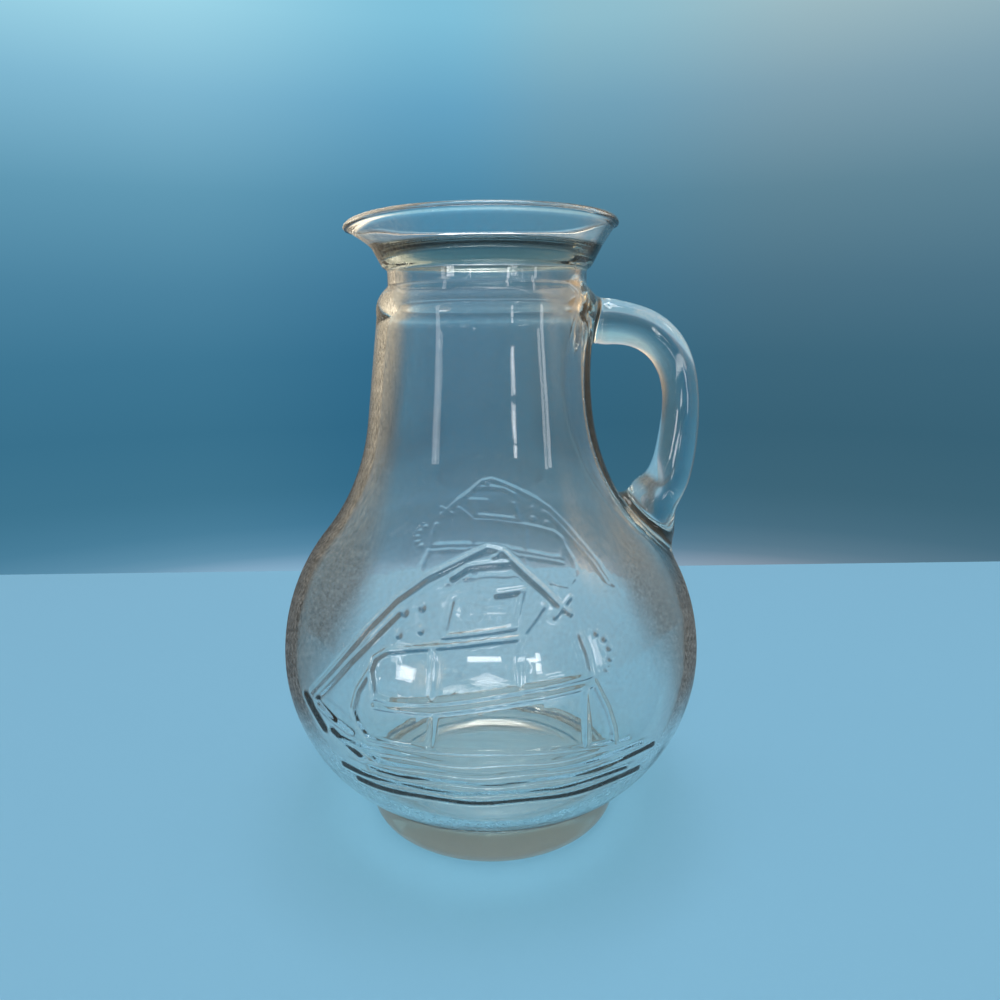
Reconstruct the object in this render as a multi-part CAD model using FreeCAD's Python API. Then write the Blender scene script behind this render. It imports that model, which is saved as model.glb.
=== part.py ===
"""A clear glass pitcher: pear-shaped body, flared mouth with a gentle spout, side handle.

Frame: the origin is on the body's axis, in the plane that the foot rests on. +Z is up, the
handle is on +X, the spout on -X, and the pitcher's faces with the ship look to -Y and +Y.
Millimetres and degrees. The glass is one solid. The overall height is the sum of the steps
from the foot to the rim.
"""
import FreeCAD, Part
import math
import os

Vector = FreeCAD.Vector

# ---- driving dimensions -------------------------------------------------------------------
# foot
foot_radius = 48.4
foot_height = 13.0
foot_step = 0.4
foot_edge_radius = 3.5
foot_ring_width = 4.4
foot_recess_depth = 3.0

# body, a chain of tangent arcs from the foot's top up to the straight neck
belly_radius = 78.1
belly_height = 65.0
belly_high_arc = 70.0
belly_high_turn = 40.0
shoulder_arc = 79.0
neck_lean = 7.2
neck_length = 36.626

# neck finish and mouth, each height and each step outwards measured from the size below it
neck_round_height = 10.3
neck_round_bulge = 1.6
groove_depth = 4.3
groove_height = 5.2
ledge_height = 1.2
ledge_step = 1.7
throat_height = 6.3
throat_step = 3.3
mouth_height = 9.5
mouth_step = 5.6
lip_bead_radius = 1.9
lip_overhang = 0.7
spout_reach = 4.0
spout_half_angle = 52.0
spout_growth = 1.3
mouth_points = 48

# glass thickness, the hollow's flat floor, and the soft corner round it
wall = 3.8
mouth_wall = 3.2
waist_wall = 3.0
floor_height = 11.8
floor_margin = 12.0
floor_corner_height = 11.0
floor_corner_bulge = 0.95

# handle: its middle line runs from the top of the neck to a place on the belly. Each station is
# the share of the way down, the stand-off outwards and the thickness.
handle_root_turn = 24.5
handle_stations = [
    (0.007, -6.5, 18.5),
    (0.019, 1.1, 16.6),
    (0.03, 8.8, 15.0),
    (0.06, 16.3, 14.4),
    (0.129, 21.5, 13.8),
    (0.225, 22.4, 13.0),
    (0.348, 19.9, 13.2),
    (0.492, 14.4, 14.4),
    (0.617, 8.0, 15.6),
    (0.673, 3.8, 18.0),
    (0.729, -1.4, 23.6),
    (0.872, -7.1, 20.0),
    (1.0, -11.8, 18.0),
]
handle_width = 16.0
handle_thin = 13.0
handle_width_gain = 0.4
oval_points = 16
handle_sections = 32

# scoop in the neck behind the handle, an arc in the XZ plane that runs along Y
scoop_depth = 5.2
scoop_drop = 21.5
scoop_arc = 75.0

# the ship in relief, as seen when facing it: for each line its width, and its points as x across
# and height above the belly's widest level
relief_height = 0.8
relief_root = 0.6
relief_margin = 6.0
ship_lines = [
    ("masthead", 1.6, [(-5.0, 51.4), (-1.0, 53.0), (3.6, 52.0), (1.0, 50.4)]),
    ("fore stay", 1.8, [(-5.0, 51.4), (-19.4, 44.8), (-28.6, 38.6), (-37.9, 29.4), (-58.2, 4.2)]),
    ("jib foot", 1.8, [(-27.5, 35.6), (-32.9, 30.4), (-43.6, 19.2), (-56.4, 3.6)]),
    ("back stay", 1.8, [(3.6, 52.0), (10.0, 46.4), (15.9, 41.6), (20.8, 37.0)]),
    ("pennant stroke up", 1.4, [(18.8, 34.6), (23.6, 39.0)]),
    ("pennant stroke down", 1.4, [(18.6, 38.8), (23.8, 34.8)]),
    ("topgallant", 1.8, [(-11.4, 45.4), (-7.0, 48.0), (-0.7, 48.8), (5.4, 48.9)]),
    ("topsail", 1.8, [(1.8, 41.3), (9.4, 42.0), (6.8, 32.7), (-14.2, 30.2), (-11.6, 39.6)]),
    ("main mast", 1.8, [(15.4, 37.6), (9.2, 31.0), (8.3, 27.0), (8.2, 15.0)]),
    ("yard", 1.8, [(-24.5, 26.2), (-17.0, 27.4), (-1.0, 29.4), (8.8, 30.0)]),
    ("fore leech", 1.8, [(-24.5, 26.2), (-31.4, 24.7), (-35.2, 22.0), (-36.6, 18.4), (-35.4, 10.4)]),
    ("fore mast", 1.8, [(-17.2, 27.2), (-18.0, 12.0)]),
    ("upper rail", 2.0, [(-35.4, 11.0), (-31.0, 10.2), (-18.0, 11.8), (-2.0, 14.4), (9.1, 15.9),
                         (29.6, 17.4)]),
    ("lower rail", 2.0, [(-35.4, 7.8), (-18.0, 9.2), (-2.0, 11.8), (9.1, 13.2), (30.4, 14.6)]),
    ("main leech", 1.8, [(26.4, 29.0), (28.6, 23.4), (29.8, 17.4)]),
    ("stern", 1.8, [(30.4, 15.2), (34.4, 6.5), (36.6, -1.0), (37.2, -5.8)]),
    ("fore rib", 1.6, [(-17.2, 9.2), (-18.4, -2.6)]),
    ("aft rib", 1.4, [(27.6, 14.2), (28.2, -4.0)]),
    ("bow", 1.6, [(-36.6, 18.4), (-40.9, 11.4), (-42.6, 5.4), (-41.3, 1.0), (-38.0, -3.2)]),
    ("waterline", 1.8, [(-38.0, -3.2), (-16.0, -2.8), (-0.9, -2.6), (20.0, -3.6), (37.2, -5.8)]),
    ("bow wave one", 3.0, [(-61.0, 1.0), (-54.4, -6.8)]),
    ("bow wave two", 3.0, [(-55.6, 1.0), (-49.3, -1.6), (-44.0, -3.4)]),
    ("bow wave three", 3.0, [(-50.8, -6.0), (-41.0, -11.6)]),
    ("bow wave four", 3.0, [(-41.0, -7.2), (-36.0, -10.6)]),
]
ship_studs = [
    (1.3, [(-26.0, 35.7), (-20.6, 37.5), (-27.7, 29.6), (-20.9, 31.5)]),
    (0.9, [(31.6, 28.6), (34.2, 26.6), (35.6, 23.8), (35.8, 20.8), (34.4, 18.2)]),
]
wave_levels = [-6.8, -10.8, -14.6, -18.6, -22.6]
wave_start = -48.0
wave_length = 30.0
wave_count = 6
wave_rise = 0.4
wave_width = 1.8

# where the turned solids have their seam, round from the handle
seam_turn = 135.0


# ---- helpers ------------------------------------------------------------------------------
def point(radius, height):
    """A point of the half section, which lies in the XZ plane."""
    return Vector(radius, 0, height)


def arc_point(centre, radius, angle):
    """The point of the half section at an angle in degrees above the horizontal."""
    turn = math.radians(angle)
    return point(centre.x + radius * math.cos(turn), centre.z + radius * math.sin(turn))


def arc_edge(centre, radius, start, end):
    """An arc of the half section between two angles in degrees."""
    middle = (start + end) / 2
    ends = [arc_point(centre, radius, angle) for angle in (start, middle, end)]
    return Part.Arc(*ends).toShape()


def line_edge(start, end):
    return Part.LineSegment(start, end).toShape()


def bulge_edge(start, end, bulge):
    """An arc between two points that stands out by a bulge, to the right of the way up."""
    along = (end - start).normalize()
    middle = (start + end) / 2 + Vector(along.z, 0, -along.x) * bulge
    return Part.Arc(start, middle, end).toShape()


def closed_curve(points):
    """A smooth closed wire through points."""
    curve = Part.BSplineCurve()
    curve.interpolate(Points=points, PeriodicFlag=True)
    return Part.Wire(curve.toShape())


def turned(edges):
    """The solid that a closed half section sweeps about the Z axis, its seam off the handle."""
    face = Part.Face(Part.Wire(edges))
    solid = face.revolve(Vector(0, 0, 0), Vector(0, 0, 1), 360)
    solid.rotate(Vector(0, 0, 0), Vector(0, 0, 1), seam_turn)
    return solid


# ---- the body's outline -------------------------------------------------------------------
class BodyOutline:
    """Arc centres and ends of the body's outline, moved inwards by an inset."""

    def __init__(self, inset):
        turn = math.radians(belly_high_turn)
        self.low_radius = belly_low_arc - inset
        self.low_centre = point(belly_radius - belly_low_arc, belly_height)
        self.high_centre = point(belly_radius - belly_high_arc, belly_height)
        self.high_radius = belly_high_arc - inset
        both_arcs = belly_high_arc + shoulder_arc
        self.shoulder_centre = point(self.high_centre.x + both_arcs * math.cos(turn),
                                     belly_height + both_arcs * math.sin(turn))
        self.shoulder_radius = shoulder_arc + inset
        self.neck_low = arc_point(self.shoulder_centre, self.shoulder_radius, 180 + neck_lean)
        rise = neck_top - self.neck_low.z
        self.neck_high = point(self.neck_low.x - rise * math.tan(math.radians(neck_lean)), neck_top)

    def low_angle(self, height):
        """Angle of the low belly arc where it passes a height."""
        return math.degrees(math.asin((height - belly_height) / self.low_radius))

    def edges(self, start_height):
        """The outline from the low belly arc at a height up to the top of the neck."""
        return [
            arc_edge(self.low_centre, self.low_radius, self.low_angle(start_height), 0),
            arc_edge(self.high_centre, self.high_radius, 0, belly_high_turn),
            arc_edge(self.shoulder_centre, self.shoulder_radius, 180 + belly_high_turn,
                     180 + neck_lean),
            line_edge(self.neck_low, self.neck_high),
        ]


# the heights of the steps, from the bottom up
neck_top = (belly_height + (belly_high_arc + shoulder_arc) * math.sin(math.radians(belly_high_turn))
            - shoulder_arc * math.sin(math.radians(neck_lean)) + neck_length)
groove_low = neck_top + neck_round_height
groove_high = groove_low + groove_height
ledge_level = groove_high + ledge_height
crease_level = ledge_level + throat_height
rim_level = crease_level + mouth_height
bead_level = rim_level - lip_bead_radius

# the low belly arc, upright at the belly's widest level and run down to the foot's top
foot_top = point(foot_radius - foot_step, foot_height)
belly_overhang = belly_radius - foot_top.x
belly_low_arc = (belly_overhang ** 2 + (belly_height - foot_height) ** 2) / (2 * belly_overhang)

# the outside, and the radii of its steps
body = BodyOutline(0)
groove_radius = body.neck_high.x - groove_depth
ledge_radius = groove_radius + ledge_step
crease_radius = ledge_radius + throat_step
mouth_radius = crease_radius + mouth_step


def outer_body():
    """The glass from the foot up to the crease of the mouth, without its hollow."""
    edge_centre = point(foot_radius - foot_edge_radius, foot_edge_radius)
    recess_edge = point(edge_centre.x - foot_ring_width, 0)
    recess_top = point(0, foot_recess_depth)
    recess_arc = (recess_edge.x ** 2 + recess_top.z ** 2) / (2 * recess_top.z)
    recess_centre = point(0, recess_top.z - recess_arc)
    recess_turn = math.degrees(math.asin(recess_edge.x / recess_arc))
    edges = [
        arc_edge(recess_centre, recess_arc, 90, 90 - recess_turn),
        line_edge(recess_edge, point(edge_centre.x, 0)),
        arc_edge(edge_centre, foot_edge_radius, -90, 0),
        line_edge(point(foot_radius, foot_edge_radius), foot_top),
    ]
    edges += body.edges(foot_height)
    edges += [
        bulge_edge(body.neck_high, point(groove_radius, groove_low), neck_round_bulge),
        line_edge(point(groove_radius, groove_low), point(groove_radius, groove_high)),
        line_edge(point(groove_radius, groove_high), point(ledge_radius, ledge_level)),
        line_edge(point(ledge_radius, ledge_level), point(crease_radius, crease_level)),
        line_edge(point(crease_radius, crease_level), point(0, crease_level)),
        line_edge(point(0, crease_level), recess_top),
    ]
    return turned(edges)


def inner_body():
    """The hollow from the floor up to the crease of the mouth."""
    hollow = BodyOutline(wall)
    floor_edge = point(foot_top.x - floor_margin, floor_height)
    corner_top = floor_height + floor_corner_height
    side = arc_point(hollow.low_centre, hollow.low_radius, hollow.low_angle(corner_top))
    waist = groove_radius - waist_wall
    throat = point(crease_radius - mouth_wall, crease_level)
    edges = [line_edge(point(0, floor_height), floor_edge)]
    edges.append(bulge_edge(floor_edge, side, floor_corner_bulge))
    edges += hollow.edges(corner_top)
    edges += [
        line_edge(hollow.neck_high, point(waist, groove_low)),
        line_edge(point(waist, groove_low), point(waist, groove_high)),
        line_edge(point(waist, groove_high), throat),
        line_edge(throat, point(0, crease_level)),
        line_edge(point(0, crease_level), point(0, floor_height)),
    ]
    return turned(edges)


# ---- the flared mouth ---------------------------------------------------------------------
def mouth_curve(radius, reach, height):
    """A closed curve round the axis that swells towards the spout by a squared cosine."""
    points = []
    for step in range(mouth_points):
        around = 2 * math.pi * step / mouth_points
        off = math.degrees(abs(around - math.pi))
        swell = math.cos(math.pi / 2 * off / spout_half_angle) ** 2 if off < spout_half_angle else 0
        length = radius + reach * swell
        points.append(Vector(length * math.cos(around), length * math.sin(around), height))
    return closed_curve(points)


def circle_wire(radius, height):
    return Part.Wire(Part.makeCircle(radius, Vector(0, 0, height)))


def flare(inset, top):
    """The mouth's cone from the crease to a height, moved inwards by an inset."""
    slope = (mouth_step - lip_overhang) / (bead_level - crease_level)
    wires = [circle_wire(crease_radius - inset, crease_level)]
    for height in ((crease_level + top) / 2, top):
        rise = height - crease_level
        share = (rise / (bead_level - crease_level)) ** spout_growth
        wires.append(mouth_curve(crease_radius - inset + slope * rise, spout_reach * share, height))
    return Part.makeLoft(wires, True, False)


def lip_bead():
    """The round bead that runs along the mouth's edge."""
    path = mouth_curve(mouth_radius - lip_bead_radius, spout_reach, bead_level)
    start = path.Edges[0].valueAt(path.Edges[0].FirstParameter)
    profile = Part.Wire(Part.makeCircle(lip_bead_radius, start, Vector(0, 1, 0)))
    return path.makePipeShell([profile], True, True)


# ---- the handle ---------------------------------------------------------------------------
def handle_place(share, stand_off, thickness):
    """A point of the handle's middle line, with the thickness there as its Y."""
    low_root = arc_point(body.high_centre, body.high_radius, handle_root_turn)
    middle = body.neck_high + (low_root - body.neck_high) * share + Vector(stand_off, 0, 0)
    return Vector(middle.x, thickness, middle.z)


def oval_wire(centre, along, thickness):
    """The handle's oval section about a centre, square to a direction."""
    across = along.cross(Vector(0, 1, 0)).normalize()
    half_width = (handle_width + handle_width_gain * (thickness - handle_thin)) / 2
    points = []
    for step in range(oval_points):
        turn = 2 * math.pi * step / oval_points
        points.append(centre + across * (-thickness / 2 * math.sin(turn))
                      + Vector(0, half_width * math.cos(turn), 0))
    return closed_curve(points)


def handle():
    """The handle, ruled between close oval sections; both roots end inside the glass."""
    line = Part.BSplineCurve()
    line.interpolate([handle_place(*station) for station in handle_stations])
    first, last = line.FirstParameter, line.LastParameter
    wires = []
    for step in range(handle_sections + 1):
        at = first + (last - first) * step / handle_sections
        place = line.value(at)
        run = line.tangent(at)[0]
        wires.append(oval_wire(point(place.x, place.z), Vector(run.x, 0, run.z), place.y))
    return Part.makeLoft(wires, True, True)


def scoop(inset):
    """What the scoop behind the handle takes away, moved inwards by an inset."""
    length = 2 * belly_radius
    face = body.neck_high.x - scoop_depth
    centre = Vector(face + scoop_arc, -length / 2, neck_top - scoop_drop)
    return Part.makeCylinder(scoop_arc + inset, length, centre, Vector(0, 1, 0))


# ---- the ship in relief -------------------------------------------------------------------
def ship_point(across, rise):
    return point(across, belly_height + rise)


def bar_face(start, end, width):
    """A straight line's face with round ends, in the XZ plane."""
    run = (end - start).normalize()
    side = Vector(-run.z, 0, run.x) * (width / 2)
    cap = run * (width / 2)
    edges = [
        line_edge(start + side, end + side),
        Part.Arc(end + side, end + cap, end - side).toShape(),
        line_edge(end - side, start - side),
        Part.Arc(start - side, start - cap, start + side).toShape(),
    ]
    return Part.Face(Part.Wire(edges))


def line_face(wire, width):
    """The face that covers a line in the XZ plane to half its width on each side."""
    if len(wire.Edges) == 1:
        ends = [vertex.Point for vertex in wire.Vertexes]
        return bar_face(ends[0], ends[1], width)
    return Part.Face(wire.makeOffset2D(width / 2, 0, False, False, False))


def disc_face(place, radius):
    circle = Part.makeCircle(radius, ship_point(*place), Vector(0, -1, 0))
    return Part.Face(Part.Wire(circle))


def wave_wire(level, index):
    """One wavy line of the sea: arcs that bulge up and down in turn."""
    half = wave_length / 2
    start = wave_start + half * (index % 3) / 3
    edges = []
    for step in range(wave_count):
        left = start + half * step
        bulge = wave_rise if step % 2 else -wave_rise
        edges.append(Part.Arc(ship_point(left, level), ship_point(left + half / 2, level + bulge),
                              ship_point(left + half, level)).toShape())
    return Part.Wire(edges)


def skin():
    """A thin shell on the body's outline, from just under the surface to the relief's height."""
    low = belly_height + min(wave_levels) - relief_margin
    shells = []
    for inset in (-relief_height, relief_root):
        outline = BodyOutline(inset)
        edges = outline.edges(low)
        start = edges[0].valueAt(edges[0].FirstParameter)
        end = outline.neck_high
        edges += [
            line_edge(end, point(0, end.z)),
            line_edge(point(0, end.z), point(0, start.z)),
            line_edge(point(0, start.z), start),
        ]
        shells.append(turned(edges))
    return shells[0].cut(shells[1])


def ship():
    """The raised lines on the face at -Y, as solids that root in the glass."""
    faces = []
    for name, width, places in ship_lines:
        line = Part.makePolygon([ship_point(*place) for place in places])
        faces.append(line_face(line, width))
    for radius, places in ship_studs:
        faces += [disc_face(place, radius) for place in places]
    faces += [line_face(wave_wire(level, index), wave_width)
              for index, level in enumerate(wave_levels)]
    pattern = faces[0].fuse(faces[1:])
    reach = Vector(0, -belly_radius - 2 * relief_height, 0)
    shell = skin()
    lines = [face.extrude(reach).common(shell) for face in pattern.Faces]
    return lines[0].fuse(lines[1:])


# ---- the whole pitcher --------------------------------------------------------------------
def pitcher():
    outside = outer_body().cut(scoop(0)).fuse([flare(0, bead_level), handle()])
    hollow = inner_body().cut(scoop(wall)).fuse(flare(mouth_wall, rim_level + lip_bead_radius))
    glass = outside.cut(hollow).fuse(lip_bead())
    front = ship()
    back = front.copy()
    back.rotate(Vector(0, 0, 0), Vector(0, 0, 1), 180)
    return glass.fuse([front, back])


def main():
    os.makedirs("parts", exist_ok=True)
    shape = pitcher()
    print("solids", len(shape.Solids), "valid", shape.isValid(), "faces", len(shape.Faces))
    solid = shape.Solids[0]
    print("volume", round(solid.Volume), "box", solid.optimalBoundingBox())
    solid.exportStep("parts/pitcher.step")


main()
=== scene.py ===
"""A clear glass pitcher with a sailing ship in relief, and the plain table it stands on.

The glass is one closed surface, worked out in millimetres on a lattice that runs up the outside,
over the lip and down the inside, and round the axis. Fine cells draw the raised lines. The
handle is a tube joined to it, with a soft fillet at both roots.
"""
import math

import bpy
import numpy as np
from mathutils import Matrix, Vector

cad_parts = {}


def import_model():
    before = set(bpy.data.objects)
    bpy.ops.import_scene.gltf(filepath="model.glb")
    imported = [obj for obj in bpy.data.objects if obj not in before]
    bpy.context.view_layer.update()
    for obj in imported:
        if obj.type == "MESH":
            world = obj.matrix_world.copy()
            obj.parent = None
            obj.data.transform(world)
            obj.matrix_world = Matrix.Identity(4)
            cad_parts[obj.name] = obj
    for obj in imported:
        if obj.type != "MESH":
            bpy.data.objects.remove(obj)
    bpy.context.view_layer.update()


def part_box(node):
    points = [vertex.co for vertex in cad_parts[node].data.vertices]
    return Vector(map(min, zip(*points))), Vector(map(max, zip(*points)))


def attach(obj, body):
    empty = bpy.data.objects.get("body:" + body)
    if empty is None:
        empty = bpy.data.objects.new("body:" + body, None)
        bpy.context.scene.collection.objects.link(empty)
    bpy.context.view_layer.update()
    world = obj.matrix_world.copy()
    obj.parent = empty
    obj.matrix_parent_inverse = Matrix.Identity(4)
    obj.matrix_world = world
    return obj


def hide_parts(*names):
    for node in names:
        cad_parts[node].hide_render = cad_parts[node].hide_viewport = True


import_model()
MM = 0.001
TOTAL_HEIGHT = (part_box("pitcher")[1][2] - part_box("pitcher")[0][2]) / MM

# ---- sizes of the glass, in millimetres and degrees ----------------------------------------
FOOT_RADIUS = 48.4
FOOT_HEIGHT = 13.0
FOOT_TOP_RADIUS = 48.0
FOOT_EDGE_RADIUS = 3.5
FOOT_RECESS_RADIUS = 40.5
FOOT_RECESS_DEPTH = 3.0

BELLY_RADIUS = 78.09
BELLY_HEIGHT = 65.0
BELLY_HIGH_ARC = 70.0
BELLY_HIGH_TURN = 40.0
SHOULDER_ARC = 79.0
NECK_LEAN = 7.2

# heights of the neck's steps, measured down from the rim
NECK_TOP = TOTAL_HEIGHT - 32.5
GROOVE_LOW = TOTAL_HEIGHT - 22.2
GROOVE_HIGH = TOTAL_HEIGHT - 17.0
LEDGE_LEVEL = TOTAL_HEIGHT - 15.8
CREASE_LEVEL = TOTAL_HEIGHT - 9.5
GROOVE_RADIUS = 34.94
LEDGE_RADIUS = 36.64
CREASE_RADIUS = 39.94
MOUTH_RADIUS = 45.54
LIP_BEAD_RADIUS = 1.9
LIP_OVERHANG = 0.7
NECK_ROUND_BULGE = 1.6
SPOUT_REACH = 4.0
SPOUT_DIP = 1.3
SPOUT_HALF_ANGLE = 52.0
SPOUT_GROWTH = 1.3

WALL = 3.8
MOUTH_WALL = 3.2
WAIST_WALL = 3.0
FLOOR_HEIGHT = 11.8
FLOOR_RADIUS = 36.0
FLOOR_CORNER_TOP = 22.8
FLOOR_CORNER_BULGE = 0.95
# the small ledge inside the mouth: how far it stands in from the waist, and its drop
SEAT_WIDTH = 0.8
SEAT_DROP = 0.6

SCOOP_DEPTH = 5.2
SCOOP_HEIGHT = NECK_TOP - 21.5
SCOOP_ARC = 75.0
SCOOP_ROUNDING = 0.9
SCOOP_LEAST_COSINE = 0.05

# handle stations: place along x, height and thickness
HANDLE_STATIONS = np.array([
    (33.0, 186.8, 18.5),
    (41.0, 185.7, 16.6),
    (49.0, 184.7, 15.0),
    (57.5, 181.9, 14.4),
    (64.9, 175.4, 13.8),
    (69.0, 166.5, 13.0),
    (70.5, 155.0, 13.2),
    (69.7, 141.5, 14.4),
    (67.3, 129.8, 15.6),
    (64.9, 124.6, 18.0),
    (61.6, 119.4, 23.6),
    (60.5, 106.0, 20.0),
    (60.0, 94.0, 18.0),
])
HANDLE_WIDTH = 16.0
HANDLE_THIN = 13.0
HANDLE_WIDTH_GAIN = 0.4
HANDLE_RINGS = 150
HANDLE_SIDES = 44

# fine cells where the handle joins: beyond ROOT_START along x, and for each root its lowest and
# highest level and its half width
ROOT_START = 28
ROOT_AREAS = [(171, 199, 13), (84, 140, 19)]
# where the crease between handle and glass is looked for, and the level between its two roots
CREASE_HALF_WIDTH = 18
CREASE_LOW = 85
CREASE_HIGH = 200
CREASE_DEGREES = 24
CREASE_STEPS = 30
ROOTS_APART = 150
FILLET_REACH_HIGH = 7.0
FILLET_REACH_LOW = 15.0
FILLET_STEPS = 90
FILLET_PULL = 0.6

# ---- the ship in relief, as seen when facing it --------------------------------------------
RELIEF_HEIGHT = 0.76
FRONT_SPREAD = 0.2
# the back's lines are wider and lower
BACK_SPREAD = 0.9
BACK_SHARE = 0.3
# a ridge's reach as a share of a line's width, a stud's radius and a wave's width
LINE_REACH = 0.6
STUD_REACH = 1.2
WAVE_REACH = 0.75
# each line: its width, then its points as x across and height above the belly's widest level
SHIP_LINES = [
    (1.6, [(-5.0, 51.4), (-1.0, 53.0), (3.6, 52.0), (1.0, 50.4)]),
    (1.8, [(-5.0, 51.4), (-19.4, 44.8), (-28.6, 38.6), (-37.9, 29.4), (-58.2, 4.2)]),
    (1.8, [(-27.5, 35.6), (-32.9, 30.4), (-43.6, 19.2), (-56.4, 3.6)]),
    (1.8, [(3.6, 52.0), (10.0, 46.4), (15.9, 41.6), (20.8, 37.0)]),
    (1.4, [(18.8, 34.6), (23.6, 39.0)]),
    (1.4, [(18.6, 38.8), (23.8, 34.8)]),
    (1.8, [(-11.4, 45.4), (-7.0, 48.0), (-0.7, 48.8), (5.4, 48.9)]),
    (1.8, [(1.8, 41.3), (9.4, 42.0), (6.8, 32.7), (-14.2, 30.2), (-11.6, 39.6)]),
    (1.8, [(15.4, 37.6), (9.2, 31.0), (8.3, 27.0), (8.2, 15.0)]),
    (1.8, [(-24.5, 26.2), (-17.0, 27.4), (-1.0, 29.4), (8.8, 30.0)]),
    (1.8, [(-24.5, 26.2), (-31.4, 24.7), (-35.2, 22.0), (-36.6, 18.4), (-35.4, 10.4)]),
    (1.8, [(-17.2, 27.2), (-18.0, 12.0)]),
    (2.0, [(-35.4, 11.0), (-31.0, 10.2), (-18.0, 11.8), (-2.0, 14.4), (9.1, 15.9), (29.6, 17.4)]),
    (2.0, [(-35.4, 7.8), (-18.0, 9.2), (-2.0, 11.8), (9.1, 13.2), (30.4, 14.6)]),
    (1.8, [(26.4, 29.0), (28.6, 23.4), (29.8, 17.4)]),
    (1.8, [(30.4, 15.2), (34.4, 6.5), (36.6, -1.0), (37.2, -5.8)]),
    (1.6, [(-17.2, 9.2), (-18.4, -2.6)]),
    (1.4, [(27.6, 14.2), (28.2, -4.0)]),
    (1.6, [(-36.6, 18.4), (-40.9, 11.4), (-42.6, 5.4), (-41.3, 1.0), (-38.0, -3.2)]),
    (1.8, [(-38.0, -3.2), (-16.0, -2.8), (-0.9, -2.6), (20.0, -3.6), (37.2, -5.8)]),
    (3.0, [(-61.0, 1.0), (-54.4, -6.8)]),
    (3.0, [(-55.6, 1.0), (-49.3, -1.6), (-44.0, -3.4)]),
    (3.0, [(-50.8, -6.0), (-41.0, -11.6)]),
    (3.0, [(-41.0, -7.2), (-36.0, -10.6)]),
]
SHIP_STUDS = [
    (1.3, [(-26.0, 35.7), (-20.6, 37.5), (-27.7, 29.6), (-20.9, 31.5)]),
    (0.9, [(31.6, 28.6), (34.2, 26.6), (35.6, 23.8), (35.8, 20.8), (34.4, 18.2)]),
]
# the sea's lines: their levels from the belly's widest, and where they start and end across
WAVE_LEVELS = [-6.8, -10.8, -14.6, -18.6, -22.6]
WAVE_START = -48.0
WAVE_LENGTH = 30.0
WAVE_END = 42.0
WAVE_RISE = 0.4
WAVE_WIDTH = 1.8
WAVE_SHARE = 0.8
# each line starts this many shares of half a wave after the one above, then back again
WAVE_SHIFTS = 3

# ---- the lattice ---------------------------------------------------------------------------
# cells round the axis, and fine cells along each side of one
COLUMNS = 192
FINE = 4
# step along the outline and the length that rounds its corners, in millimetres
DENSE_STEP = 0.05
CORNER_WINDOW = 1.1
# stretches of the outline from the bottom's middle: the first, and the one past the last
BELLY_STRETCHES = (4, 7)
NECK_OUTSIDE = (4, 9)
NECK_INSIDE = (17, 23)
MOUTH_STRETCHES = (12, 16)


# ---- the outline of the glass, from the bottom's middle up the outside and down the inside --
def arc(centre, radius, start, end):
    """Points on an arc: centre plus radius times (cosine, sine) of angles from start to end."""
    count = max(int(abs(math.radians(end - start)) * radius / DENSE_STEP), 2)
    turn = np.radians(np.linspace(start, end, count))
    return np.column_stack([centre[0] + radius * np.cos(turn), centre[1] + radius * np.sin(turn)])


def line(start, end):
    """Points on the straight line between two points."""
    count = max(int(math.dist(start, end) / DENSE_STEP), 2)
    share = np.linspace(0, 1, count)[:, None]
    return np.array(start) * (1 - share) + np.array(end) * share


def bulged(start, end, bulge):
    """Points between two points, pushed out to the right by a parabola as high as bulge."""
    points = line(start, end)
    along = (np.array(end) - start) / math.dist(start, end)
    share = np.linspace(0, 1, len(points))[:, None]
    return points + np.array([along[1], -along[0]]) * bulge * 4 * share * (1 - share)


def side_stretches(inset, low_level):
    """The side from a low level up to the neck's top: low arc, high arc, shoulder arc, line."""
    across = BELLY_RADIUS - FOOT_TOP_RADIUS
    low_arc = (across ** 2 + (BELLY_HEIGHT - FOOT_HEIGHT) ** 2) / (2 * across)
    low_radius = low_arc - inset
    low_centre = (BELLY_RADIUS - low_arc, BELLY_HEIGHT)
    high_centre = (BELLY_RADIUS - BELLY_HIGH_ARC, BELLY_HEIGHT)
    turn = math.radians(BELLY_HIGH_TURN)
    both = BELLY_HIGH_ARC + SHOULDER_ARC
    shoulder_centre = (high_centre[0] + both * math.cos(turn), BELLY_HEIGHT + both * math.sin(turn))
    shoulder = arc(shoulder_centre, SHOULDER_ARC + inset, 180 + BELLY_HIGH_TURN, 180 + NECK_LEAN)
    neck_low = shoulder[-1]
    lean = math.tan(math.radians(NECK_LEAN))
    neck_high = (neck_low[0] - (NECK_TOP - neck_low[1]) * lean, NECK_TOP)
    low_turn = -math.degrees(math.asin((BELLY_HEIGHT - low_level) / low_radius))
    return [
        arc(low_centre, low_radius, low_turn, 0),
        arc(high_centre, BELLY_HIGH_ARC - inset, 0, BELLY_HIGH_TURN),
        shoulder,
        line(neck_low, neck_high),
    ]


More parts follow.
